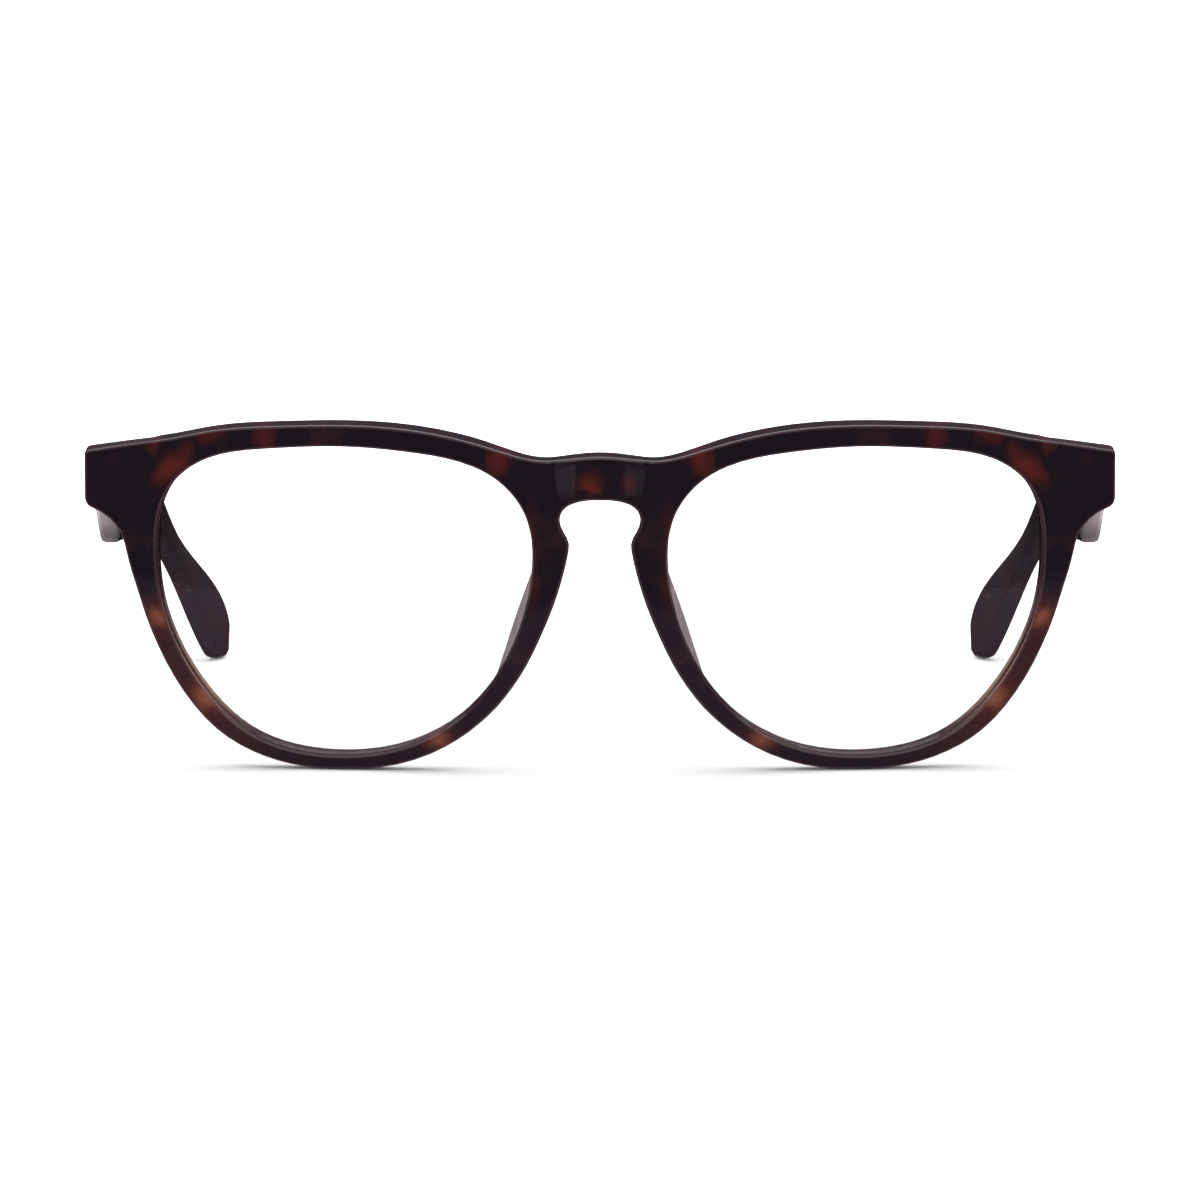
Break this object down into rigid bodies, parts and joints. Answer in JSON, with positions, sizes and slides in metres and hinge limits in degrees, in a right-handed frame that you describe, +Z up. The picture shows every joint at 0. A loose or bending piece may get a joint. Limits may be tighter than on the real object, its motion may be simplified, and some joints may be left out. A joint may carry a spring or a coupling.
{
  "type": "reading glasses",
  "caption": "Cat-eye spectacles in dark acetate with a keyhole bridge, clear lenses, glued nose pads and temples that fold on barrel hinges.",
  "frame": {"origin": "middle of the bounding box's bottom face, on the surface that the open glasses stand on", "axes": "+Z up, the wearer looks towards -Y, +X to the wearer's left; the left and right halves mirror across the YZ plane"},
  "size_m": [0.1438, 0.1482, 0.0492],
  "materials": {
    "acetate": "polished",
    "lens": "polished, clear",
    "steel": "satin"
  },
  "bodies": {
    "front": {"front_frame": "acetate", "left_lens": "lens", "right_lens": "lens", "left_nose_pad": "acetate", "right_nose_pad": "acetate", "left_front_hinge": "steel", "right_front_hinge": "steel", "left_hinge_screw": "steel", "right_hinge_screw": "steel"},
    "left_temple_body": {"left_temple": "acetate", "left_temple_hinge": "steel", "left_temple_core": "steel"},
    "right_temple_body": {"right_temple": "acetate", "right_temple_hinge": "steel", "right_temple_core": "steel"}
  },
  "joints": [
    {"name": "left_temple_fold", "type": "hinge", "parent": "front", "child": "left_temple_body", "pos_m": [0.0654, -0.0572, 0.03818], "axis": [0, 0.1191, 0.9929], "range_deg": [0, 88]},
    {"name": "right_temple_fold", "type": "hinge", "parent": "front", "child": "right_temple_body", "pos_m": [-0.0654, -0.0572, 0.03818], "axis": [0, 0.1191, 0.9929], "range_deg": [-74, 0]}
  ]
}
